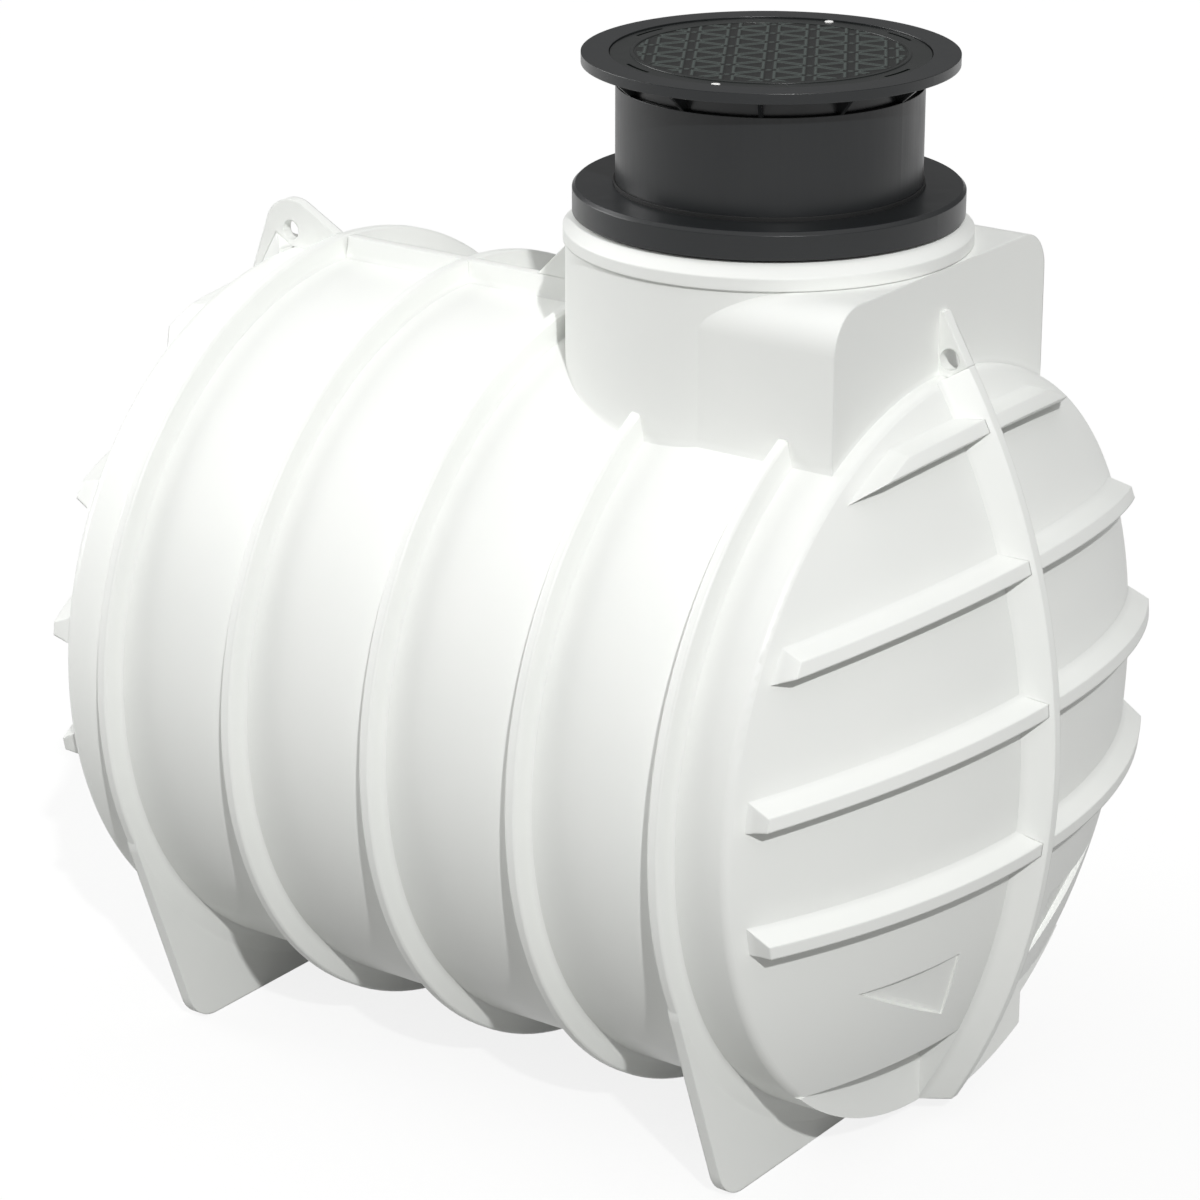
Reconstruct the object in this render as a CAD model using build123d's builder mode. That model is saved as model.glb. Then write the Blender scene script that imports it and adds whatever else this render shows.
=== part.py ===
import os
from math import asin, atan2, cos, degrees, radians, sin, sqrt, tan

from build123d import *

os.makedirs("parts", exist_ok=True)

# Horizontal tank of moulded polyethylene with a telescopic shaft. X runs along the tank, Y across it,
# Z up. The origin is on the floor under the middle of the tank. All sizes are in millimetres.

# Tank body
shell_radius = 788
wall = 10
barrel_half = 844
dome_rise = 222
end_lip = 20
end_edge_radius = 25

# Ring ribs round the body
rib_height = 47
rib_tip_width = 25
rib_base_width = 44
rib_tip_bevel = 4
end_band = 138
inner_rib_spacing = 365
floor_gap = 2

# Feet
foot_lean = 20
foot_corner_radius = 90

# Rib on the parting line, along the crown and down both ends
seam_rib_width = 22
seam_rib_base_width = 40
end_rib_height = 52
end_rib_width = 22
end_rib_base_width = 110

# Cross ribs on the ends, fanned like the slats of a louvre. A level is the height above the tank's
# axis of a rib's lower outer edge beside the centre rib, a tilt its slope outwards in degrees. The
# first rib keeps its drop under the barrel's top instead.
cross_rib_height = 44
cross_rib_edge = 28
cross_rib_base = 60
cross_rib_margin = 34
first_rib_drop = 95
first_rib_tilt = 36
second_rib_level = 418
second_rib_tilt = 21
third_rib_level = 125
third_rib_tilt = 13
fourth_rib_level = -178
fourth_rib_tilt = 3.5

# Three-cornered notch on both sides of each end, and the step under it. A corner's side is its distance
# from the parting line, its drop the distance under the axis.
notch_outer_side = 463
notch_inner_side = 182
notch_low_side = 171
notch_drop = 357
notch_low_drop = 509
notch_depth = 4
notch_cut = 60
step_height = 191
step_wall_reach = 6
step_face_reach = 46
step_near_crease = 17
step_slant_run = 95
step_far_side = 290

# Lifting eyes
eye_beyond_barrel = 1
eye_rise = 36
eye_radius = 70
eye_hole_radius = 22
eye_thickness = 26
eye_foot_reach = 120
eye_foot_drop = 115
front_eye_rise = 130
front_eye_tip = 8

# Neck and the pipe box beside it. The neck, the collar and the cover are made to fit the riser, so
# their radii are given by how far they reach beyond it.
neck_beyond_riser = 101
neck_margin = 5
neck_height = 268
neck_chamfer = 24
neck_bead = 5
neck_bead_height = 26
web_height = 163
box_setback = 24
box_half_width = 398
box_height = 215
box_corner_radius = 85

# Collar, seal and riser
collar_beyond_riser = 87
collar_step = 5
collar_height = 56
collar_bevel = 7
collar_spigot = 60
collar_clearance = 4
fit_gap = 0.4
seal_gap = 0.3
seal_height = 20
seal_lip = 8
riser_radius = 310
riser_wall = 9
riser_show = 205
riser_length = 560

# Cover frame and lid
frame_beyond_riser = 69
frame_rim = 21
frame_sleeve_gap = 4
frame_sleeve_wall = 7
frame_sleeve_length = 89
gusset_count = 12
gusset_height = 42
gusset_thickness = 8
gusset_reach = 60
lid_beyond_riser = 11
lid_gap = 2
lid_recess = 3
lid_thickness = 12
lid_slot_margin = 16
lid_slot_width = 7
lid_slot_depth = 5
lid_slot_span = 16
lid_slot_headings = (-10, 56, 170, 236)

# Values worked out from those above
rib_radius = shell_radius + rib_height
axis_height = rib_radius + floor_gap
axis = Axis((0, 0, axis_height), (1, 0, 0))
inner_radius = shell_radius - wall
outer_rib_place = barrel_half - end_band
rib_places = (
    -outer_rib_place,
    -inner_rib_spacing,
    0,
    inner_rib_spacing,
    outer_rib_place,
)
dome_radius = (shell_radius**2 + dome_rise**2) / (2 * dome_rise)
dome_centre = barrel_half + dome_rise - dome_radius
end_length = barrel_half + dome_rise
barrel_end = barrel_half - end_lip
rib_span = asin(shell_radius / dome_radius)
crown = axis_height + shell_radius
keel = axis_height - shell_radius
rib_crest = axis_height + rib_radius
cross_rib_reach = shell_radius - cross_rib_margin
first_rib_level = shell_radius - first_rib_drop
step_top = keel + step_height
step_wall = barrel_half + step_wall_reach
step_face = barrel_half + step_face_reach
far = 3 * shell_radius
neck_radius = riser_radius + neck_beyond_riser
collar_radius = riser_radius + collar_beyond_riser
frame_radius = riser_radius + frame_beyond_riser
lid_radius = riser_radius + lid_beyond_riser
lid_slot_radius = lid_radius - lid_slot_margin
box_face = barrel_half - box_setback
box_top = crown + box_height
neck_offset = box_face - neck_radius - neck_margin
neck_top = crown + neck_height
shaft_axis = Axis((neck_offset, 0, 0), (0, 0, 1))
collar_bottom = neck_top + collar_step
collar_top = collar_bottom + collar_height
riser_top = collar_top + riser_show
rim_bottom = riser_top + gusset_height
frame_top = rim_bottom + frame_rim
lid_top = frame_top - lid_recess
lid_bottom = lid_top - lid_thickness
frame_sleeve_radius = riser_radius - riser_wall - frame_sleeve_gap


def save(piece, name):
    piece.label = name
    export_step(piece, "parts/" + name + ".step")


def rib_section(place):
    """Returns one ring rib's section, wider at its base, with the corners of its tip bevelled."""
    shoulder = rib_crest - rib_tip_bevel
    corner = rib_tip_width / 2 - rib_tip_bevel
    with BuildSketch(Plane.XZ) as section:
        with BuildLine():
            Polyline(
                (place - rib_base_width / 2, crown - wall),
                (place - rib_base_width / 2, crown),
                (place - rib_tip_width / 2, shoulder),
                (place - corner, rib_crest),
                (place + corner, rib_crest),
                (place + rib_tip_width / 2, shoulder),
                (place + rib_base_width / 2, crown),
                (place + rib_base_width / 2, crown - wall),
                close=True,
            )
        make_face()
    return section.sketch


# Solids used for cutting, kept out of the hand-in
with BuildPart() as shell_body:
    with BuildSketch(Plane.YZ):
        with Locations((0, axis_height)):
            Circle(shell_radius)
    extrude(amount=barrel_half, both=True)

with BuildPart() as neck_body:
    with BuildSketch(Plane.XY.offset(axis_height)):
        with Locations((neck_offset, 0)):
            Circle(neck_radius)
    extrude(amount=neck_top - axis_height)

with BuildPart() as neck_bore:
    with BuildSketch(Plane.XY.offset(axis_height)):
        with Locations((neck_offset, 0)):
            Circle(neck_radius - wall)
    extrude(amount=neck_top - axis_height)


def box_outline(inset):
    """Returns the pipe box seen from the end: straight sides, rounded top corners."""
    half = box_half_width - inset
    height = box_top - inset - axis_height
    with BuildSketch(Plane.YZ.offset(neck_offset)) as outline:
        with Locations((0, axis_height + height / 2)):
            Rectangle(2 * half, height)
        fillet(outline.vertices().group_by(Axis.Z)[-1], box_corner_radius - inset)
    return outline.sketch


box_outside = box_outline(0)
box_inside = box_outline(wall)

with BuildPart() as box_body:
    extrude(box_outside, amount=box_face - neck_offset)

with BuildPart() as box_room:
    extrude(box_inside, amount=box_face - wall - neck_offset)

# Barrel, four long staves of one wall
for name, middle in (("left", 180), ("floor", 270), ("right", 0)):
    with BuildPart() as stave:
        with BuildSketch(Plane.YZ):
            with BuildLine():
                outer = CenterArc((0, axis_height), shell_radius, middle - 45, 90)
                inner = CenterArc((0, axis_height), inner_radius, middle - 45, 90)
                Line(outer @ 0, inner @ 0)
                Line(outer @ 1, inner @ 1)
            make_face()
        extrude(amount=barrel_end, both=True)
    save(stave.part, "barrel_" + name)

with BuildPart() as barrel_crown:
    with BuildSketch(Plane.YZ):
        with BuildLine():
            outer = CenterArc((0, axis_height), shell_radius, 45, 90)
            inner = CenterArc((0, axis_height), inner_radius, 45, 90)
            Line(outer @ 0, inner @ 0)
            Line(outer @ 1, inner @ 1)
        make_face()
    extrude(amount=barrel_end, both=True)
    add(neck_bore.part, mode=Mode.SUBTRACT)
    add(box_room.part, mode=Mode.SUBTRACT)
save(barrel_crown.part, "barrel_crown")


def end_profile(inset):
    """Returns half of an end's side view: a short straight rim, a rounded edge and the dome."""
    ball = dome_radius - inset
    rim = shell_radius - inset
    edge = end_edge_radius - inset
    start = barrel_end - inset
    edge_x = dome_centre + sqrt((ball - edge) ** 2 - (rim - edge) ** 2)
    lean = atan2(rim - edge, edge_x - dome_centre)
    with BuildSketch(Plane.XZ) as profile:
        with BuildLine():
            rounding = TangentArc(
                (edge_x, axis_height + rim),
                (dome_centre + ball * cos(lean), axis_height + ball * sin(lean)),
                tangent=(1, 0),
            )
            bow = ThreePointArc(
                rounding @ 1,
                (
                    dome_centre + ball * cos(lean / 2),
                    axis_height + ball * sin(lean / 2),
                ),
                (dome_centre + ball, axis_height),
            )
            Polyline(
                bow @ 1, (start, axis_height), (start, axis_height + rim), rounding @ 0
            )
        make_face()
    return profile.sketch


def dome_point(side, drop):
    """Returns the point of the dome at a distance from the parting line and under the axis."""
    reach = sqrt(dome_radius**2 - side**2 - drop**2)
    return Vector(dome_centre + reach, -side, axis_height - drop)


def notch_block(inset):
    """Makes the notch's solid: a triangle sunk a little under its three corners on the dome."""
    outer = dome_point(notch_outer_side, notch_drop)
    inner = dome_point(notch_inner_side, notch_drop)
    low = dome_point(notch_low_side, notch_low_drop)
    along = (inner - outer).normalized()
    outwards = (low - outer).cross(inner - outer).normalized()
    floor = Plane(origin=outer, x_dir=along, z_dir=outwards)
    corners = [floor.to_local_coords(corner) for corner in (outer, inner, low)]
    with BuildSketch(floor.offset(-notch_depth - inset)) as outline:
        with BuildLine():
            Polyline(*[(corner.X, corner.Y) for corner in corners], close=True)
        make_face()
        offset(amount=inset)
    with BuildPart() as block:
        extrude(outline.sketch, amount=notch_depth + inset + notch_cut)
    return block.part


def step_block(inset):
    """Makes the low part of an end: the barrel's round carried out to stepped flat walls."""
    slant = atan2(step_slant_run, step_face - step_wall)
    shift = inset * (1 - sin(slant)) / cos(slant)
    start = barrel_end - inset
    with BuildPart() as block:
        with BuildSketch(Plane.XY):
            with BuildLine():
                Polyline(
                    (start, -shell_radius),
                    (step_wall - inset, -shell_radius),
                    (step_wall - inset, shift - step_near_crease),
                    (step_face - inset, shift - step_near_crease + step_slant_run),
                    (step_face - inset, step_far_side - inset),
                    (step_wall - inset, step_far_side - inset),
                    (step_wall - inset, shell_radius),
                    (start, shell_radius),
                    close=True,
                )
            make_face()
        extrude(amount=step_top + inset)
        with BuildSketch(Plane.YZ.offset(start)):
            with Locations((0, axis_height)):
                Circle(shell_radius - inset)
        extrude(amount=2 * dome_rise, mode=Mode.INTERSECT)
    return block.part


def end_solid(inset):
    """Makes the front end filled in: dome, notches and step, all moved in by the inset."""
    profile = end_profile(inset)
    near_notch = notch_block(inset)
    far_notch = mirror(near_notch, about=Plane.XZ)
    block = step_block(inset)
    with BuildPart() as form:
        revolve(profile, axis=axis)
        add(near_notch, mode=Mode.SUBTRACT)
        add(far_notch, mode=Mode.SUBTRACT)
        with Locations((0, 0, step_top + inset)):
            Box(
                far,
                far,
                far,
                align=(Align.CENTER, Align.CENTER, Align.MAX),
                mode=Mode.SUBTRACT,
            )
        add(block)
    return form.part


end_body = end_solid(0)
end_room = end_solid(wall)

# Ends, each moulded in two halves that meet on the parting line
with BuildPart() as moulded_end:
    add(end_body)
    add(end_room, mode=Mode.SUBTRACT)

for side, keep in (("left", Keep.TOP), ("right", Keep.BOTTOM)):
    half_end = split(moulded_end.part, bisect_by=Plane.XZ, keep=keep)
    save(half_end, "front_end_" + side)
    save(mirror(half_end, about=Plane.YZ), "back_end_" + side)

# Rib on the parting line along the crown, from the back arch to the neck
seam_start = rib_places[0] + rib_base_width / 2
seam_stop = rib_places[4] - rib_base_width / 2

with BuildPart() as crown_seam_rib:
    with BuildSketch(Plane.YZ.offset(seam_start)):
        with BuildLine():
            Polyline(
                (-seam_rib_base_width / 2, crown - wall),
                (-seam_rib_base_width / 2, crown),
                (-seam_rib_width / 2, rib_crest),
                (seam_rib_width / 2, rib_crest),
                (seam_rib_base_width / 2, crown),
                (seam_rib_base_width / 2, crown - wall),
                close=True,
            )
        make_face()
    extrude(amount=neck_offset - seam_start)
    add(shell_body.part, mode=Mode.SUBTRACT)
    add(neck_body.part, mode=Mode.SUBTRACT)
save(crown_seam_rib.part, "crown_seam_rib")

# The same rib under the floor, from saddle to saddle
with BuildPart() as keel_rib:
    with BuildSketch(Plane.YZ.offset(seam_start)):
        with BuildLine():
            Polyline(
                (-seam_rib_base_width / 2, keel + wall),
                (-seam_rib_base_width / 2, keel),
                (-seam_rib_width / 2, floor_gap),
                (seam_rib_width / 2, floor_gap),
                (seam_rib_base_width / 2, keel),
                (seam_rib_base_width / 2, keel + wall),
                close=True,
            )
        make_face()
    extrude(amount=seam_stop - seam_start)
    add(shell_body.part, mode=Mode.SUBTRACT)
save(keel_rib.part, "keel_seam_rib")

# Ring ribs on the body between the feet, left and right halves that meet the parting line's rib
for number in (1, 2, 3):
    section = rib_section(rib_places[number])
    with BuildPart() as ring_rib:
        revolve(section, axis=axis)
        add(shell_body.part, mode=Mode.SUBTRACT)
        add(neck_body.part, mode=Mode.SUBTRACT)
        add(box_body.part, mode=Mode.SUBTRACT)
        add(crown_seam_rib.part, mode=Mode.SUBTRACT)
        add(keel_rib.part, mode=Mode.SUBTRACT)
    save(ring_rib.part, "ring_rib_" + str(number + 1))

# Rib and saddle over each pair of feet: the arch above the axis, the footed plate below it
foot_side = radians(foot_lean)
touch = (-rib_radius * cos(foot_side), axis_height - rib_radius * sin(foot_side))
foot_corner = (touch[0] + touch[1] * tan(foot_side), 0)

for end, place in (("back", rib_places[0]), ("front", rib_places[4])):
    section = rib_section(place)
    with BuildPart() as arch:
        revolve(section, axis=axis)
        split(bisect_by=Plane.XY.offset(axis_height), keep=Keep.TOP)
        add(shell_body.part, mode=Mode.SUBTRACT)
        add(box_body.part, mode=Mode.SUBTRACT)
    save(arch.part, end + "_arch_rib")

    with BuildPart() as saddle:
        with BuildSketch(Plane.YZ.offset(place)) as saddle_outline:
            with BuildLine():
                Polyline(
                    (0, axis_height),
                    touch,
                    foot_corner,
                    (-foot_corner[0], 0),
                    (-touch[0], touch[1]),
                    close=True,
                )
            make_face()
            fillet(saddle_outline.vertices().group_by(Axis.Z)[0], foot_corner_radius)
        extrude(amount=rib_tip_width / 2, both=True)
        revolve(section, axis=axis)
        split(bisect_by=Plane.XY.offset(axis_height), keep=Keep.BOTTOM)
        add(shell_body.part, mode=Mode.SUBTRACT)
    save(saddle.part, end + "_saddle")

# Ribs on the parting line of each end
with BuildPart() as end_rib:
    with BuildSketch(Plane.XY.offset(axis_height)):
        with BuildLine():
            Polyline(
                (end_length - end_rib_height, -end_rib_base_width / 2),
                (end_length, -end_rib_base_width / 2),
                (end_length + end_rib_height, -end_rib_width / 2),
                (end_length + end_rib_height, end_rib_width / 2),
                (end_length, end_rib_base_width / 2),
                (end_length - end_rib_height, end_rib_base_width / 2),
                close=True,
            )
        make_face()
    revolve(
        axis=Axis((dome_centre, 0, axis_height), (0, 1, 0)),
        revolution_arc=degrees(rib_span),
    )
    mirror(about=Plane.XY.offset(axis_height))
    add(end_body, mode=Mode.SUBTRACT)
    with Locations((barrel_half - far / 2, 0, axis_height)):
        Box(far, far, far, mode=Mode.SUBTRACT)
    with BuildSketch(Plane.YZ.offset(barrel_half)):
        with Locations((0, axis_height - far / 2)):
            Rectangle(far, far)
        with Locations((0, axis_height)):
            Circle(shell_radius, mode=Mode.SUBTRACT)
    extrude(amount=2 * dome_rise, mode=Mode.SUBTRACT)
save(end_rib.part, "front_centre_rib")
save(mirror(end_rib.part, about=Plane.YZ), "back_centre_rib")


def cross_rib(level, tilt):
    """Makes one cross rib, its section swept round a line through the centre of the dome's sphere."""
    slope = radians(tilt)
    outer_ball = dome_radius + cross_rib_height
    outer_x = sqrt(outer_ball**2 - level**2)
    bottom = level * cos(slope) - outer_x * sin(slope)
    edge_top = bottom + cross_rib_edge
    base_top = bottom + cross_rib_base
    along = (cos(slope), 0, sin(slope))
    across = (-sin(slope), 0, cos(slope))
    centre = (dome_centre, 0, axis_height)
    with BuildPart() as rib:
        with BuildSketch(Plane(origin=centre, x_dir=along, z_dir=(0, -1, 0))):
            with BuildLine():
                Polyline(
                    (dome_radius - 2 * cross_rib_height, bottom),
                    (sqrt(outer_ball**2 - bottom**2), bottom),
                    (sqrt(outer_ball**2 - edge_top**2), edge_top),
                    (sqrt(dome_radius**2 - base_top**2), base_top),
                    (dome_radius - 2 * cross_rib_height, base_top),
                    close=True,
                )
            make_face()
        revolve(axis=Axis(centre, across))
        with BuildSketch(Plane.YZ.offset(barrel_half)):
            with Locations((0, axis_height)):
                Circle(cross_rib_reach)
        extrude(amount=2 * dome_rise, mode=Mode.INTERSECT)
        add(end_body, mode=Mode.SUBTRACT)
        add(end_rib.part, mode=Mode.SUBTRACT)
    return rib.part


# Cross ribs on each end, left and right of the centre rib
first_rib = cross_rib(first_rib_level, first_rib_tilt)
second_rib = cross_rib(second_rib_level, second_rib_tilt)
third_rib = cross_rib(third_rib_level, third_rib_tilt)
fourth_rib = cross_rib(fourth_rib_level, fourth_rib_tilt)

with BuildPart() as cross_ribs:
    add(first_rib)
    add(second_rib)
    add(third_rib)
    add(fourth_rib)

for side, keep in (("left", Keep.TOP), ("right", Keep.BOTTOM)):
    half_ribs = split(cross_ribs.part, bisect_by=Plane.XZ, keep=keep)
    save(half_ribs, "front_cross_ribs_" + side)
    save(mirror(half_ribs, about=Plane.YZ), "back_cross_ribs_" + side)

# Lifting eyes, flat plates on the parting line above each end
rib_end_x = dome_centre + (dome_radius + end_rib_height) * cos(rib_span)
rib_end_z = axis_height + (dome_radius + end_rib_height) * sin(rib_span)
eye_offset = barrel_half + eye_beyond_barrel
eye_z = crown + eye_rise

back_section = rib_section(rib_places[0])

with BuildPart() as back_eye:
    with BuildSketch(Plane.XZ):
        with BuildLine():
            CenterArc((-eye_offset, eye_z), eye_radius, 0, 360)
            Polyline(
                (-outer_rib_place - rib_tip_width / 2, rib_crest),
                (-outer_rib_place - rib_tip_width / 2, crown - wall),
                (-eye_offset - eye_foot_reach, rib_end_z - eye_foot_drop),
            )
        make_hull()
        with Locations((-eye_offset, eye_z)):
            Circle(eye_hole_radius, mode=Mode.SUBTRACT)
    extrude(amount=eye_thickness / 2, both=True)
    add(shell_body.part, mode=Mode.SUBTRACT)
    revolve(back_section, axis=axis, mode=Mode.SUBTRACT)
    add(mirror(end_body, about=Plane.YZ), mode=Mode.SUBTRACT)
    add(mirror(end_rib.part, about=Plane.YZ), mode=Mode.SUBTRACT)
save(back_eye.part, "back_lifting_eye")

with BuildPart() as front_eye:
    with BuildSketch(Plane.XZ):
        with BuildLine():
            Polyline(
                (box_face, crown + front_eye_rise),
                (box_face + front_eye_tip, crown + front_eye_rise),
                (rib_end_x, rib_end_z),
                (barrel_half, crown - wall),
                (box_face, crown - wall),
                close=True,
            )
        make_face()
        with Locations((eye_offset, eye_z)):
            Circle(eye_hole_radius, mode=Mode.SUBTRACT)
    extrude(amount=eye_thickness / 2, both=True)
    add(shell_body.part, mode=Mode.SUBTRACT)
    add(end_body, mode=Mode.SUBTRACT)
    add(end_rib.part, mode=Mode.SUBTRACT)
save(front_eye.part, "front_lifting_eye")

# Neck, standing on the crown
with BuildPart() as neck:
    with BuildSketch(Plane.XZ):
        with BuildLine():
            Polyline(
                (neck_offset + neck_radius - wall, axis_height),
                (neck_offset + neck_radius, axis_height),
                (neck_offset + neck_radius, neck_top - 2 * neck_bead_height),
                (neck_offset + neck_radius + neck_bead, neck_top - 2 * neck_bead_height),
                (neck_offset + neck_radius + neck_bead, neck_top - neck_bead_height),
                (neck_offset + neck_radius - neck_chamfer, neck_top),
                (neck_offset + neck_radius - neck_chamfer - wall, neck_top),
                (neck_offset + neck_radius - wall, neck_top - neck_bead_height),
                close=True,
            )
        make_face()
    revolve(axis=shaft_axis)
    add(shell_body.part, mode=Mode.SUBTRACT)
    add(box_room.part, mode=Mode.SUBTRACT)
save(neck.part, "manhole_neck")

# Pipe box, open to the neck
with BuildPart() as pipe_box:
    add(box_body.part)
    add(box_room.part, mode=Mode.SUBTRACT)
    add(shell_body.part, mode=Mode.SUBTRACT)
    add(neck_body.part, mode=Mode.SUBTRACT)
    with BuildSketch(Plane.XY.offset(neck_top - 2 * neck_bead_height)):
        with Locations((neck_offset, 0)):
            Circle(neck_radius + neck_bead)
    extrude(amount=neck_top, mode=Mode.SUBTRACT)
save(pipe_box.part, "pipe_box")

# Web between the seam rib and the neck
with BuildPart() as neck_web:
    with BuildSketch(Plane.XZ):
        with BuildLine():
            Polyline(
                (neck_offset - neck_radius - web_height, rib_crest),
                (neck_offset - neck_radius, rib_crest + web_height),
                (neck_offset, rib_crest + web_height),
                (neck_offset, rib_crest),
                close=True,
            )
        make_face()
    extrude(amount=seam_rib_width / 2, both=True)
    add(neck_body.part, mode=Mode.SUBTRACT)
save(neck_web.part, "neck_web")

# Collar that closes the neck round the riser
with BuildPart() as collar:
    with BuildSketch(Plane.XZ):
        with BuildLine():
            bore = neck_offset + riser_radius + collar_clearance
            rim = neck_offset + collar_radius
            spigot = neck_offset + neck_radius - neck_chamfer - wall - fit_gap
            Polyline(
                (bore, collar_bottom - collar_spigot),
                (bore, collar_top),
                (rim - collar_bevel, collar_top),
                (rim, collar_top - collar_bevel),
                (rim, collar_bottom),
                (spigot, neck_top),
                (spigot, collar_bottom - collar_spigot),
                close=True,
            )
        make_face()
    revolve(axis=shaft_axis)
save(collar.part, "sealing_collar")

# Rubber seal in the collar, its lip standing above it and wiping the riser
with BuildPart() as seal:
    with BuildSketch(Plane.XZ):
        with Locations((neck_offset + riser_radius + seal_gap, collar_top + seal_lip)):
            Rectangle(
                collar_clearance - seal_gap, seal_height, align=(Align.MIN, Align.MAX)
            )
    revolve(axis=shaft_axis)
save(seal.part, "riser_seal")

# Riser pipe
with BuildPart() as riser:
    with BuildSketch(Plane.XZ):
        with Locations((neck_offset + riser_radius, riser_top)):
            Rectangle(riser_wall, riser_length, align=(Align.MAX, Align.MAX))
    revolve(axis=shaft_axis)
save(riser.part, "riser_pipe")

# Cover frame, a ring with a seat for the lid
with BuildPart() as frame:
    with BuildSketch(Plane.XZ):
        with BuildLine():
            pocket = neck_offset + lid_radius + lid_gap
            edge = neck_offset + frame_radius
            throat = neck_offset + frame_sleeve_radius - frame_sleeve_wall
            Polyline(
                (edge, frame_top),
                (edge, rim_bottom),
                (throat, rim_bottom),
                (throat, lid_bottom),
                (pocket, lid_bottom),
                (pocket, frame_top),
                close=True,
            )
        make_face()
    revolve(axis=shaft_axis)
save(frame.part, "cover_frame")

# Sleeve of the frame, hanging inside the riser
with BuildPart() as sleeve:
    with BuildSketch(Plane.XZ):
        with Locations((neck_offset + frame_sleeve_radius, rim_bottom)):
            Rectangle(
                frame_sleeve_wall, frame_sleeve_length, align=(Align.MAX, Align.MAX)
            )
    revolve(axis=shaft_axis)
save(sleeve.part, "frame_sleeve")

# Gussets under the frame's rim, standing on the riser's top
with BuildPart() as gussets:
    for turn in range(gusset_count):
        heading = radians(turn * 360 / gusset_count)
        upright = Plane(
            origin=(neck_offset, 0, 0),
            x_dir=(cos(heading), sin(heading), 0),
            z_dir=(sin(heading), -cos(heading), 0),
        )
        with BuildSketch(upright):
            with BuildLine():
                Polyline(
                    (frame_sleeve_radius - frame_sleeve_wall, riser_top),
                    (riser_radius, riser_top),
                    (frame_sleeve_radius + gusset_reach, rim_bottom),
                    (frame_sleeve_radius - frame_sleeve_wall, rim_bottom),
                    close=True,
                )
            make_face()
        extrude(amount=gusset_thickness / 2, both=True)
    with BuildSketch(Plane.XY.offset(riser_top)):
        with Locations((neck_offset, 0)):
            Circle(frame_sleeve_radius)
    extrude(amount=gusset_height, mode=Mode.SUBTRACT)
save(gussets.part, "frame_gussets")

# Lid, with slots near its edge for lifting it
with BuildPart() as lid:
    with BuildSketch(Plane.XY.offset(lid_bottom)):
        with Locations((neck_offset, 0)):
            Circle(lid_radius)
    extrude(amount=lid_thickness)
    for degree in lid_slot_headings:
        heading = radians(degree)
        upright = Plane(
            origin=(neck_offset, 0, 0),
            x_dir=(cos(heading), sin(heading), 0),
            z_dir=(sin(heading), -cos(heading), 0),
        )
        with BuildSketch(upright):
            with Locations((lid_slot_radius, lid_top)):
                Rectangle(lid_slot_width, 2 * lid_slot_depth)
        revolve(
            axis=shaft_axis, revolution_arc=lid_slot_span, mode=Mode.SUBTRACT
        )
save(lid.part, "cover_lid")
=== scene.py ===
import math

import bpy
import numpy as np
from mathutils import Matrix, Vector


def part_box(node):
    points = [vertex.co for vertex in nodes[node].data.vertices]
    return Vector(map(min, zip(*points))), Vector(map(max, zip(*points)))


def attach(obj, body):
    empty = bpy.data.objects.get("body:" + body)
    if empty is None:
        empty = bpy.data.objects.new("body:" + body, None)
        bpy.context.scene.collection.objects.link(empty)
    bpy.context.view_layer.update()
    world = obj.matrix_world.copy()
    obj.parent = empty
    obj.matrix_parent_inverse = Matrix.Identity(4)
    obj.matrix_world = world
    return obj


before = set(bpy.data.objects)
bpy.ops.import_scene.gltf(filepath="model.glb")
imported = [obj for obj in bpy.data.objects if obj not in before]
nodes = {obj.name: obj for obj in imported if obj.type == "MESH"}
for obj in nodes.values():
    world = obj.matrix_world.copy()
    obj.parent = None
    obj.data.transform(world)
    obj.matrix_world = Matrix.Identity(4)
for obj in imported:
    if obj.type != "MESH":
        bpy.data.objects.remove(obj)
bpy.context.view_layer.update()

# Wall of the tank. The real one is a hollow polyethylene moulding, turned in an oven until the
# powder has melted on to the mould. Its skin is satin white, faintly cloudy, with a fine orange
# peel.


def linear(hex_colour):
    """Turns an sRGB hex colour to linear by the sRGB curve: a straight toe, then a power of 2.4."""
    parts = [int(hex_colour[i : i + 2], 16) / 255 for i in (1, 3, 5)]
    return [p / 12.92 if p <= 0.04045 else ((p + 0.055) / 1.055) ** 2.4 for p in parts] + [1]


def add_node(tree, kind, inputs=None, **settings):
    """Adds a node, gives it its settings, and sets or links each of its inputs."""
    made = tree.nodes.new(kind)
    for name, value in settings.items():
        setattr(made, name, value)
    for name, value in (inputs or {}).items():
        if isinstance(value, bpy.types.NodeSocket):
            tree.links.new(value, made.inputs[name])
        else:
            made.inputs[name].default_value = value
    return made


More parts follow.
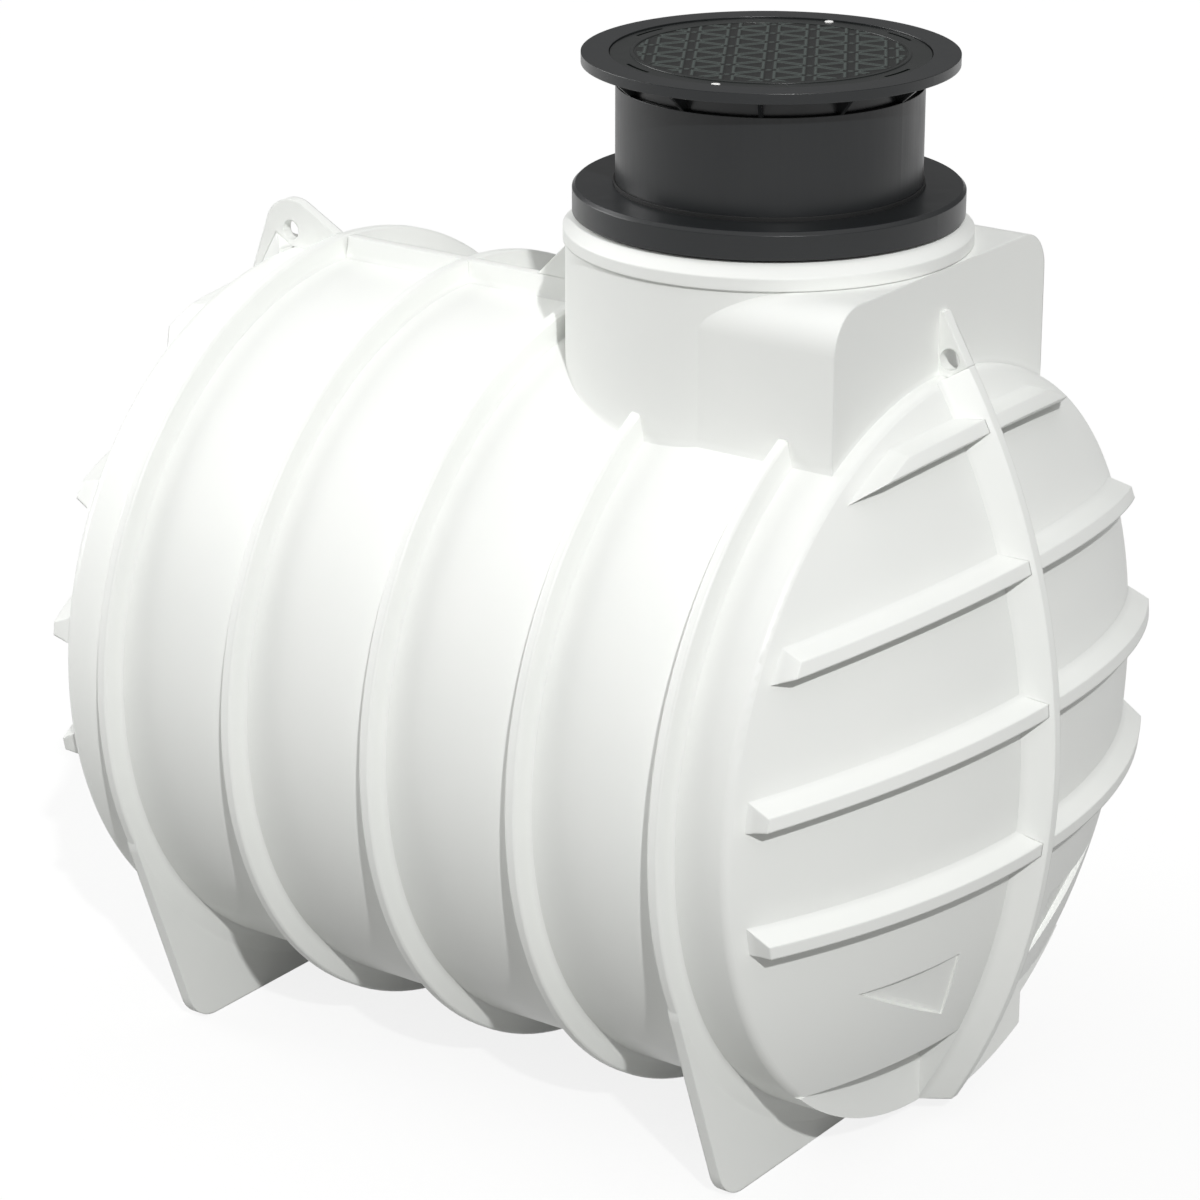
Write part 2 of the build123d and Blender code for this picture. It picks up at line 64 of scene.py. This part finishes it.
def moulded_plastic(name, light, dark, roughness, cloud_size, peel_size, peel_depth):
    """A moulded skin: two close colours in clouds, duller where lighter, and an orange peel."""
    made = bpy.data.materials.new(name)
    made.use_nodes = True
    tree = made.node_tree
    tree.nodes.clear()
    place = add_node(tree, "ShaderNodeTexCoord").outputs["Object"]
    clouds = add_node(
        tree,
        "ShaderNodeTexNoise",
        {"Vector": place, "Scale": 1 / cloud_size, "Detail": 3.0, "Roughness": 0.55},
    ).outputs["Fac"]
    # a Mix node has its colour inputs at places 6 and 7 and its colour output at 2
    colour = add_node(
        tree,
        "ShaderNodeMix",
        {0: clouds, 6: linear(light), 7: linear(dark)},
        data_type="RGBA",
    ).outputs[2]
    gloss = add_node(
        tree,
        "ShaderNodeMapRange",
        {
            "Value": clouds,
            "From Min": 0.35,
            "From Max": 0.65,
            "To Min": roughness + 0.04,
            "To Max": roughness - 0.04,
        },
    ).outputs["Result"]
    peel = add_node(
        tree,
        "ShaderNodeTexNoise",
        {"Vector": place, "Scale": 1 / peel_size, "Detail": 2.0, "Roughness": 0.5},
    ).outputs["Fac"]
    bump = add_node(
        tree, "ShaderNodeBump", {"Height": peel, "Distance": peel_depth, "Strength": 0.6}
    )
    shader = add_node(
        tree,
        "ShaderNodeBsdfPrincipled",
        {
            "Base Color": colour,
            "Roughness": gloss,
            "Normal": bump.outputs["Normal"],
            "IOR": 1.5,
        },
    ).outputs["BSDF"]
    add_node(tree, "ShaderNodeOutputMaterial", {"Surface": shader})
    return made, tree, place, bump


def finish_nodes(material, *names):
    """Gives a material to CAD nodes by their object's material slots."""
    for name in names:
        for slot in nodes[name].material_slots:
            slot.material = material


# Clouds show over some 0.4 m, orange peel over 7 mm and 0.15 mm deep. Satin: roughness 0.4.
wall_look = dict(
    light="#F1F2EF",
    dark="#EBEDEA",
    roughness=0.4,
    cloud_size=0.4,
    peel_size=0.007,
    peel_depth=0.00015,
)
wall_skin = moulded_plastic("white rotationally moulded polyethylene wall", **wall_look)[0]
finish_nodes(wall_skin, "barrel_left", "barrel_right", "barrel_floor", "barrel_crown")
finish_nodes(
    wall_skin, "front_end_left", "front_end_right", "back_end_left", "back_end_right"
)

# Ring ribs, arches and feet. They are folds of the same wall: powder doesn't reach into a sharp
# corner, so they are rounded on the outside and run into the wall in a hollow curve.
barrel_low, barrel_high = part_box("barrel_left")
end_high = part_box("front_end_left")[1]
shell_radius = max(abs(barrel_low[1]), abs(barrel_high[1]))
axis_height = (barrel_low[2] + barrel_high[2]) / 2
shaft_x = sum(point[0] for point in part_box("sealing_collar")) / 2
dome_rise = 0.222
dome_radius = (shell_radius**2 + dome_rise**2) / (2 * dome_rise)
dome_middle = end_high[0] - dome_radius
edge_round = 0.006
hollow_width = 0.016
hollow_lean = 0.4
neck_clear = 0.425
neck_fade = 0.02
square_below = 0.5 * hollow_width
round_above = 1.2 * hollow_width
joint_clear = 0.007
joint_fade = 0.013


def ribbed_plastic(name, keep_from_neck):
    """The wall's skin on a rib: rounded outer edges, and normals leaning to the wall's at its foot.

    Height over the wall is the larger of two: the distance from the tank's axis less the barrel's
    radius, and the distance from the middle of the nearer dome's ball less that ball's radius.
    """
    made, tree, place, bump = moulded_plastic(name, **wall_look)
    x, y, z = add_node(tree, "ShaderNodeSeparateXYZ", {0: place}).outputs
    rise = add_node(
        tree, "ShaderNodeMath", {0: z, 1: axis_height}, operation="SUBTRACT"
    ).outputs[0]
    side = add_node(tree, "ShaderNodeMath", {0: x}, operation="SIGN").outputs[0]
    middle = add_node(
        tree, "ShaderNodeMath", {0: side, 1: dome_middle}, operation="MULTIPLY"
    ).outputs[0]
    from_middle = add_node(
        tree, "ShaderNodeMath", {0: x, 1: middle}, operation="SUBTRACT"
    ).outputs[0]
    walls = []
    for along, wall_radius in ((0.0, shell_radius), (from_middle, dome_radius)):
        arm = add_node(
            tree, "ShaderNodeCombineXYZ", {"X": along, "Y": y, "Z": rise}
        ).outputs[0]
        reach = add_node(
            tree, "ShaderNodeVectorMath", {0: arm}, operation="LENGTH"
        ).outputs["Value"]
        over = add_node(
            tree, "ShaderNodeMath", {0: reach, 1: wall_radius}, operation="SUBTRACT"
        ).outputs[0]
        walls.append((arm, over))
    (barrel_arm, over_barrel), (dome_arm, over_dome) = walls
    height = add_node(
        tree, "ShaderNodeMath", {0: over_barrel, 1: over_dome}, operation="MAXIMUM"
    ).outputs[0]
    radius = add_node(
        tree,
        "ShaderNodeMapRange",
        {
            "Value": height,
            "From Min": square_below,
            "From Max": round_above,
            "To Min": 0.0,
            "To Max": edge_round,
        },
        interpolation_type="SMOOTHSTEP",
    ).outputs[0]
    # the upper and lower halves of a rib meet level with the axis, where the skin runs through
    from_joint = add_node(
        tree, "ShaderNodeMath", {0: rise}, operation="ABSOLUTE"
    ).outputs[0]
    whole = add_node(
        tree,
        "ShaderNodeMapRange",
        {
            "Value": from_joint,
            "From Min": joint_clear,
            "From Max": joint_clear + joint_fade,
        },
        interpolation_type="SMOOTHSTEP",
    ).outputs[0]
    radius = add_node(
        tree, "ShaderNodeMath", {0: radius, 1: whole}, operation="MULTIPLY"
    ).outputs[0]
    if keep_from_neck:
        from_shaft = add_node(
            tree, "ShaderNodeMath", {0: x, 1: shaft_x}, operation="SUBTRACT"
        ).outputs[0]
        level = add_node(
            tree, "ShaderNodeCombineXYZ", {"X": from_shaft, "Y": y, "Z": 0.0}
        ).outputs[0]
        beside = add_node(
            tree, "ShaderNodeVectorMath", {0: level}, operation="LENGTH"
        ).outputs["Value"]
        clear = add_node(
            tree,
            "ShaderNodeMapRange",
            {
                "Value": beside,
                "From Min": neck_clear,
                "From Max": neck_clear + neck_fade,
            },
            interpolation_type="SMOOTHSTEP",
        ).outputs[0]
        radius = add_node(
            tree, "ShaderNodeMath", {0: radius, 1: clear}, operation="MULTIPLY"
        ).outputs[0]
    rounded = add_node(tree, "ShaderNodeBevel", {"Radius": radius}, samples=8).outputs[0]
    on_end = add_node(
        tree, "ShaderNodeMath", {0: over_dome, 1: over_barrel}, operation="GREATER_THAN"
    ).outputs[0]
    # a Mix node has its vector inputs at places 4 and 5 and its vector output at 1
    outwards = add_node(
        tree, "ShaderNodeMix", {0: on_end, 4: barrel_arm, 5: dome_arm}, data_type="VECTOR"
    ).outputs[1]
    outwards = add_node(
        tree, "ShaderNodeVectorMath", {0: outwards}, operation="NORMALIZE"
    ).outputs[0]
    hollow = add_node(
        tree,
        "ShaderNodeMapRange",
        {
            "Value": height,
            "From Min": 0.0,
            "From Max": hollow_width,
            "To Min": hollow_lean,
            "To Max": 0.0,
        },
        interpolation_type="SMOOTHSTEP",
    ).outputs[0]
    turned = add_node(
        tree, "ShaderNodeMix", {0: hollow, 4: rounded, 5: outwards}, data_type="VECTOR"
    ).outputs[1]
    turned = add_node(
        tree, "ShaderNodeVectorMath", {0: turned}, operation="NORMALIZE"
    ).outputs[0]
    tree.links.new(turned, bump.inputs["Normal"])
    return made


rib_skin = ribbed_plastic("white rotationally moulded polyethylene rib", True)
finish_nodes(rib_skin, "ring_rib_2", "ring_rib_3", "ring_rib_4")
finish_nodes(rib_skin, "back_arch_rib", "front_arch_rib", "back_saddle", "front_saddle")

# Ribs on the parting line and cross ribs on the ends, of the same skin. They stiffen the ends
# against the ground's pressure, and the two lifting eyes stand on the parting line's rib.
finish_nodes(
    rib_skin, "crown_seam_rib", "keel_seam_rib", "front_centre_rib", "back_centre_rib"
)
finish_nodes(rib_skin, "front_cross_ribs_left", "front_cross_ribs_right")
finish_nodes(rib_skin, "back_cross_ribs_left", "back_cross_ribs_right")
finish_nodes(rib_skin, "back_lifting_eye", "front_lifting_eye")

# Neck, pipe box and web, moulded in one with the crown. The box gives a flat face to drill for
# pipes. The neck is rounded at all its edges, the box only away from the neck that it runs into.
neck_skin = ribbed_plastic("white rotationally moulded polyethylene neck", False)
finish_nodes(neck_skin, "manhole_neck")
finish_nodes(rib_skin, "pipe_box", "neck_web")

# Sealing collar, pressed into the neck. Injection moulded polypropylene, coloured with carbon
# black: a fine satin that shows the lamps as broad soft streaks.


def round_edges(tree, bump, radius):
    """Rounds a skin's edges as its mould does."""
    rounded = add_node(tree, "ShaderNodeBevel", {"Radius": radius}, samples=8)
    tree.links.new(rounded.outputs["Normal"], bump.inputs["Normal"])


# Clouds over 0.15 m, a spark finish of 3 mm and 0.04 mm deep. Satin: roughness 0.33.
shaft_skin, shaft_tree, _, shaft_bump = moulded_plastic(
    "black injection moulded polypropylene",
    light="#222426",
    dark="#1B1D1E",
    roughness=0.33,
    cloud_size=0.15,
    peel_size=0.003,
    peel_depth=0.00004,
)
round_edges(shaft_tree, shaft_bump, 0.0025)
finish_nodes(shaft_skin, "sealing_collar")

# Seal between collar and riser. The real one is an extruded rubber lip in the collar's bore.
# Rubber is duller than the plastic beside it.
seal_skin, seal_tree, _, seal_bump = moulded_plastic(
    "black extruded rubber",
    light="#1B1C1C",
    dark="#161717",
    roughness=0.65,
    cloud_size=0.05,
    peel_size=0.002,
    peel_depth=0.00003,
)
round_edges(seal_tree, seal_bump, 0.0015)
finish_nodes(seal_skin, "riser_seal")

# Riser pipe, of the collar's black polypropylene. It slides up and down in the seal, which draws
# faint upright scuffs on it: the same skin with a rub that is long in Z and narrow round the pipe.
riser_skin = shaft_skin.copy()
riser_skin.name = "black polypropylene scuffed by the seal"
riser_tree = riser_skin.node_tree
riser_shader = next(n for n in riser_tree.nodes if n.type == "BSDF_PRINCIPLED")
riser_gloss = riser_shader.inputs["Roughness"].links[0].from_socket
scuff_width = 0.005
scuff_length = 0.25
scuff_dulling = 0.07
stretched = add_node(
    riser_tree,
    "ShaderNodeVectorMath",
    {
        0: add_node(riser_tree, "ShaderNodeTexCoord").outputs["Object"],
        1: (1 / scuff_width, 1 / scuff_width, 1 / scuff_length),
    },
    operation="MULTIPLY",
).outputs["Vector"]
rub = add_node(
    riser_tree, "ShaderNodeTexNoise", {"Vector": stretched, "Scale": 1.0, "Detail": 2.0}
).outputs["Fac"]
rub_gloss = add_node(
    riser_tree,
    "ShaderNodeMapRange",
    {"Value": rub, "From Min": 0.4, "From Max": 0.75, "To Max": scuff_dulling},
).outputs["Result"]
scuffed = add_node(
    riser_tree, "ShaderNodeMath", {0: riser_gloss, 1: rub_gloss}, operation="ADD"
).outputs["Value"]
riser_tree.links.new(scuffed, riser_shader.inputs["Roughness"])
finish_nodes(riser_skin, "riser_pipe")

# Cover frame, its sleeve and the gussets under its rim. They are one moulding of the black
# polypropylene. The sleeve hangs in the riser, so the cover goes up and down with it.
finish_nodes(shaft_skin, "cover_frame", "frame_sleeve", "frame_gussets")

# Lid, moulded of glass filled polypropylene, with slots near its edge for lifting it.
# It is a shade greener and darker than its frame.
lid_skin = moulded_plastic(
    "green black moulded glass filled polypropylene",
    light="#141918",
    dark="#0F1312",
    roughness=0.3,
    cloud_size=0.1,
    peel_size=0.003,
    peel_depth=0.00005,
)[0]
finish_nodes(lid_skin, "cover_lid")

lid_low, lid_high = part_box("cover_lid")
lid_x = (lid_low[0] + lid_high[0]) / 2
lid_y = (lid_low[1] + lid_high[1]) / 2
lid_top = lid_high[2]


def new_piece(name, points, faces, material):
    """Makes a mesh object at the origin from an array of points and an array of faces."""
    mesh = bpy.data.meshes.new(name)
    mesh.from_pydata(points.tolist(), [], faces.tolist())
    mesh.materials.append(material)
    mesh.shade_smooth()
    made = bpy.data.objects.new(name, mesh)
    bpy.context.scene.collection.objects.link(made)
    return made


# Tread of the lid, moulded in one with it, so that a boot grips in every direction. Knobs stand
# in staggered columns, and from each knob one leaf-shaped loop points left and one right.
tread_radius = 0.272
tread_height = 0.0027
tread_turn = math.radians(32)
column_pitch = 0.080
knob_pitch = 0.084
knob_radius = 0.0085
leaf_start = 0.012
leaf_stop = 0.006
knob_slope = 0.003
rim_width = 0.011
tread_cells = 288
tread_fade = 0.006
tread_lift = 0.0001
knob_share = 0.8
edge_sink = 0.0005


def tread_surface():
    """A square net laid on the lid, its outside points pulled in to the tread's edge.

    Lines between the knobs part the lid into triangles with a knob at their tip. Inside each runs a
    bead, whose height is half a sine wave over the distance inwards from the triangle's sides.
    """
    steps = np.linspace(-1, 1, tread_cells + 1) * tread_radius
    across, along = np.meshgrid(steps, steps, indexing="xy")
    reach = np.hypot(across, along)
    inside = reach < tread_radius * 0.999
    pull = np.where(inside, 1.0, tread_radius / np.maximum(reach, 1e-9))
    across, along = across * pull, along * pull
    column = np.floor(across / column_pitch)
    u = across / column_pitch - column
    v = along / knob_pitch - 0.5 * np.mod(column, 2)
    left_off = v - np.round(v)
    right_off = v + 0.5 - np.round(v + 0.5)
    leftward = np.abs(left_off) <= u / 2
    span = np.where(leftward, u, 1 - u)
    off = np.where(leftward, left_off, right_off)
    inset = (span / 2 - np.abs(off)) * knob_pitch
    inset = np.minimum(inset, span * column_pitch - leaf_start)
    inset = np.minimum(inset, (1 - span) * column_pitch - leaf_stop)
    leaf = np.sin(np.pi * np.clip(inset / rim_width, 0, 1))
    left_knob = np.hypot(u * column_pitch, left_off * knob_pitch)
    right_knob = np.hypot((1 - u) * column_pitch, right_off * knob_pitch)
    from_knob = np.minimum(left_knob, right_knob)
    knob = knob_share * np.clip((knob_radius - from_knob) / knob_slope, 0, 1)
    edge = np.clip((tread_radius - np.hypot(across, along)) / tread_fade, 0, 1)
    z = lid_top + tread_lift + tread_height * np.maximum(leaf, knob) * edge
    z = np.where(inside, z, lid_top - edge_sink)
    x = lid_x + across * math.cos(tread_turn) - along * math.sin(tread_turn)
    y = lid_y + across * math.sin(tread_turn) + along * math.cos(tread_turn)
    points = np.stack([x, y, z], -1).reshape(-1, 3)
    index = np.arange((tread_cells + 1) ** 2).reshape(tread_cells + 1, -1)
    quads = np.stack([index[:-1, :-1], index[:-1, 1:], index[1:, 1:], index[1:, :-1]], -1)
    kept = inside[:-1, :-1] | inside[:-1, 1:] | inside[1:, 1:] | inside[1:, :-1]
    used, faces = np.unique(quads[kept], return_inverse=True)
    return points[used], faces.reshape(-1, 4)


# Crests of the tread are painted paler as a highlight and its hollows darker as painted shade:
# colour by height over the lid. Boots rub it dull all over, so it has no sharp glints.
rubbed_roughness = 0.55
painted_crest_light_from = 0.45 * tread_height
tread_skin = lid_skin.copy()
tread_skin.name = "green black polypropylene rubbed by boots"
tread_tree = tread_skin.node_tree
tread_place = add_node(tread_tree, "ShaderNodeTexCoord").outputs["Object"]
tread_z = add_node(tread_tree, "ShaderNodeSeparateXYZ", {0: tread_place}).outputs["Z"]
# mask of the painted highlight on the crests, by height over the lid
painted_crest_light_mask = add_node(
    tread_tree,
    "ShaderNodeMapRange",
    {
        "Value": tread_z,
        "From Min": lid_top + painted_crest_light_from,
        "From Max": lid_top + tread_height,
    },
    interpolation_type="SMOOTHSTEP",
).outputs[0]
# painted highlight on the crests and painted shade in the hollows
painted_crest_and_hollow_colour = add_node(
    tread_tree,
    "ShaderNodeMix",
    {0: painted_crest_light_mask, 6: linear("#090C0B"), 7: linear("#3C4441")},
    data_type="RGBA",
).outputs[2]
tread_shader = next(n for n in tread_tree.nodes if n.type == "BSDF_PRINCIPLED")
tread_tree.links.new(painted_crest_and_hollow_colour, tread_shader.inputs["Base Color"])
tread_tree.links.remove(tread_shader.inputs["Roughness"].links[0])
tread_shader.inputs["Roughness"].default_value = rubbed_roughness
tread = new_piece("lid_tread", *tread_surface(), tread_skin)
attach(tread, "riser")

# Bead round the tread, moulded on the lid too. It keeps grit off the lifting slots.
bead_radius = 0.277
bead_half_width = 0.004
bead_height = 0.0024
bead_sink = 0.0002


def round_bead(steps=240, bow_steps=9):
    """Half an oval carried round the lid's middle: a cosine across and a sine up."""
    turn = np.linspace(0, 2 * np.pi, steps, endpoint=False)[:, None]
    bow = np.linspace(0, np.pi, bow_steps)[None, :]
    reach = bead_radius - bead_half_width * np.cos(bow)
    z = lid_top - bead_sink + (bead_height + bead_sink) * np.sin(bow) + 0 * turn
    x = lid_x + reach * np.cos(turn)
    y = lid_y + reach * np.sin(turn)
    points = np.stack([x, y, z], -1).reshape(-1, 3)
    first = np.arange(steps)[:, None] * bow_steps + np.arange(bow_steps)[None, :]
    second = np.roll(first, -1, axis=0)
    after = np.roll(np.arange(bow_steps), -1)
    faces = np.stack([first, first[:, after], second[:, after], second], -1)
    return points, faces.reshape(-1, 4)[:, ::-1]


bead = new_piece("lid_bead", *round_bead(), lid_skin)
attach(bead, "riser")

# Caps on the two screws that hold the lid down. They are small white nylon mouldings, pressed over
# the screws near the lid's edge, and the only bright spots on the cover.
cap_skin = moulded_plastic(
    "white moulded nylon",
    light="#F4F4F2",
    dark="#ECECE9",
    roughness=0.4,
    cloud_size=0.01,
    peel_size=0.001,
    peel_depth=0.00001,
)[0]
cap_circle = 0.311
cap_radius = 0.0088
cap_rise = 0.0029
cap_fall = 0.0012
cap_sink = 0.002
cap_headings = (-76.5, 100.9)


def screw_cap(heading, steps=32, rings=7):
    """A low dome on a round skirt, which falls as the square of the distance from its middle."""
    middle_x = lid_x + cap_circle * math.cos(math.radians(heading))
    middle_y = lid_y + cap_circle * math.sin(math.radians(heading))
    turn = np.linspace(0, 2 * np.pi, steps, endpoint=False)[:, None]
    share = np.append(np.linspace(0, 1, rings), 1.0)[None, 1:]
    x = middle_x + cap_radius * share * np.cos(turn)
    y = middle_y + cap_radius * share * np.sin(turn)
    z = lid_top + cap_rise - cap_fall * share**2 + 0 * turn
    z[:, -1] = lid_top - cap_sink
    points = np.stack([x, y, z], -1).reshape(-1, 3)
    ends = [[middle_x, middle_y, lid_top + cap_rise], [middle_x, middle_y, lid_top - cap_sink]]
    points = np.concatenate([points, ends])
    first = np.arange(steps)[:, None] * rings + np.arange(rings - 1)[None, :]
    second = np.roll(first, -1, axis=0)
    sides = np.stack([first, first + 1, second + 1, second], -1).reshape(-1, 4)
    inner = np.arange(steps) * rings
    outer = inner + rings - 1
    top = np.stack([inner, np.roll(inner, -1), np.full(steps, steps * rings)], -1)
    under = np.stack([np.roll(outer, -1), outer, np.full(steps, steps * rings + 1)], -1)
    return points.tolist(), sides.tolist() + top.tolist() + under.tolist()


for number, heading in enumerate(cap_headings):
    cap_points, cap_faces = screw_cap(heading)
    cap_mesh = bpy.data.meshes.new(f"screw_cap_{number + 1}")
    cap_mesh.from_pydata(cap_points, [], cap_faces)
    cap_mesh.materials.append(cap_skin)
    cap = bpy.data.objects.new(f"screw_cap_{number + 1}", cap_mesh)
    bpy.context.scene.collection.objects.link(cap)
    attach(cap, "riser")

# Floor, a plain sheet. The camera and mirrors see it near white with the object's faint shadow on
# it, and the object gets back the light of a grey sheet, so that its underside stays shaded.
floor_material = bpy.data.materials.new("pale floor")
floor_material.use_nodes = True
floor_tree = floor_material.node_tree
floor_tree.nodes.clear()
floor_rays = add_node(floor_tree, "ShaderNodeLightPath").outputs
floor_colour = add_node(
    floor_tree,
    "ShaderNodeMix",
    {0: floor_rays["Is Camera Ray"], 6: linear("#868684"), 7: linear("#F6F6F5")},
    data_type="RGBA",
).outputs[2]
floor_matt = add_node(
    floor_tree, "ShaderNodeBsdfPrincipled", {"Base Color": floor_colour, "Roughness": 0.9}
).outputs["BSDF"]
floor_glow = add_node(
    floor_tree, "ShaderNodeEmission", {"Color": linear("#FFFFFF"), "Strength": 1.0}
).outputs["Emission"]
floor_direct = add_node(
    floor_tree,
    "ShaderNodeMath",
    {0: floor_rays["Is Camera Ray"], 1: floor_rays["Is Glossy Ray"]},
    operation="MAXIMUM",
).outputs["Value"]
floor_direct = add_node(
    floor_tree,
    "ShaderNodeMath",
    {0: floor_direct, 1: floor_rays["Is Transmission Ray"]},
    operation="MAXIMUM",
).outputs["Value"]
floor_white = 0.85
floor_share = add_node(
    floor_tree, "ShaderNodeMath", {0: floor_direct, 1: floor_white}, operation="MULTIPLY"
).outputs["Value"]
floor_mix = add_node(
    floor_tree, "ShaderNodeMixShader", {"Fac": floor_share, 1: floor_matt, 2: floor_glow}
).outputs["Shader"]
add_node(floor_tree, "ShaderNodeOutputMaterial", {"Surface": floor_mix})
floor_half = 150.0
floor_points = np.array([[-1, -1, 0], [1, -1, 0], [1, 1, 0], [-1, 1, 0]]) * floor_half
floor = new_piece("floor", floor_points, np.array([[0, 1, 2, 3]]), floor_material)

# Light. A soft ceiling over a dim horizon, a small key lamp high on the right in front that
# draws the ribs' shadows, and a broad soft lamp on the left that edges the riser and the collar.
world = bpy.data.worlds.new("studio")
bpy.context.scene.world = world
world.use_nodes = True
world_tree = world.node_tree
world_tree.nodes.clear()
sky_parts = add_node(
    world_tree,
    "ShaderNodeSeparateXYZ",
    {"Vector": add_node(world_tree, "ShaderNodeTexCoord").outputs["Generated"]},
).outputs
sky_strength = add_node(
    world_tree,
    "ShaderNodeMapRange",
    {
        "Value": sky_parts["Z"],
        "From Min": 0.3,
        "From Max": 1.0,
        "To Min": 0.18,
        "To Max": 0.87,
    },
    interpolation_type="SMOOTHSTEP",
).outputs["Result"]
sky = add_node(
    world_tree,
    "ShaderNodeBackground",
    {"Color": linear("#FFFFFF"), "Strength": sky_strength},
).outputs["Background"]
add_node(world_tree, "ShaderNodeOutputWorld", {"Surface": sky})

for lamp_name, strength, spread, towards in (
    ("key", 2.06, 1.5, (0.570, -0.547, 0.613)),
    ("side", 1.62, 36.0, (-0.92, -0.20, 0.34)),
):
    lamp = bpy.data.lights.new(lamp_name, "SUN")
    lamp.energy = strength
    lamp.angle = math.radians(spread)
    lamp_object = bpy.data.objects.new(lamp_name, lamp)
    lamp_object.rotation_euler = (
        math.acos(towards[2] / math.hypot(*towards)),
        0,
        math.atan2(towards[1], towards[0]) + math.pi / 2,
    )
    bpy.context.scene.collection.objects.link(lamp_object)

# Camera, at the photograph's place: 36 mm film behind a long lens, level, looking down on the tank.
camera = bpy.data.cameras.new("camera")
camera.sensor_width = 36.0
camera.lens = 122.31
camera.clip_end = 400.0
camera_object = bpy.data.objects.new("camera", camera)
camera_object.location = (4.796, -6.6888, 3.9936)
camera_object.rotation_euler = (math.radians(90 - 20.1698), 0, math.radians(35.7263))
bpy.context.scene.collection.objects.link(camera_object)
bpy.context.scene.camera = camera_object
bpy.context.scene.view_settings.view_transform = "Standard"
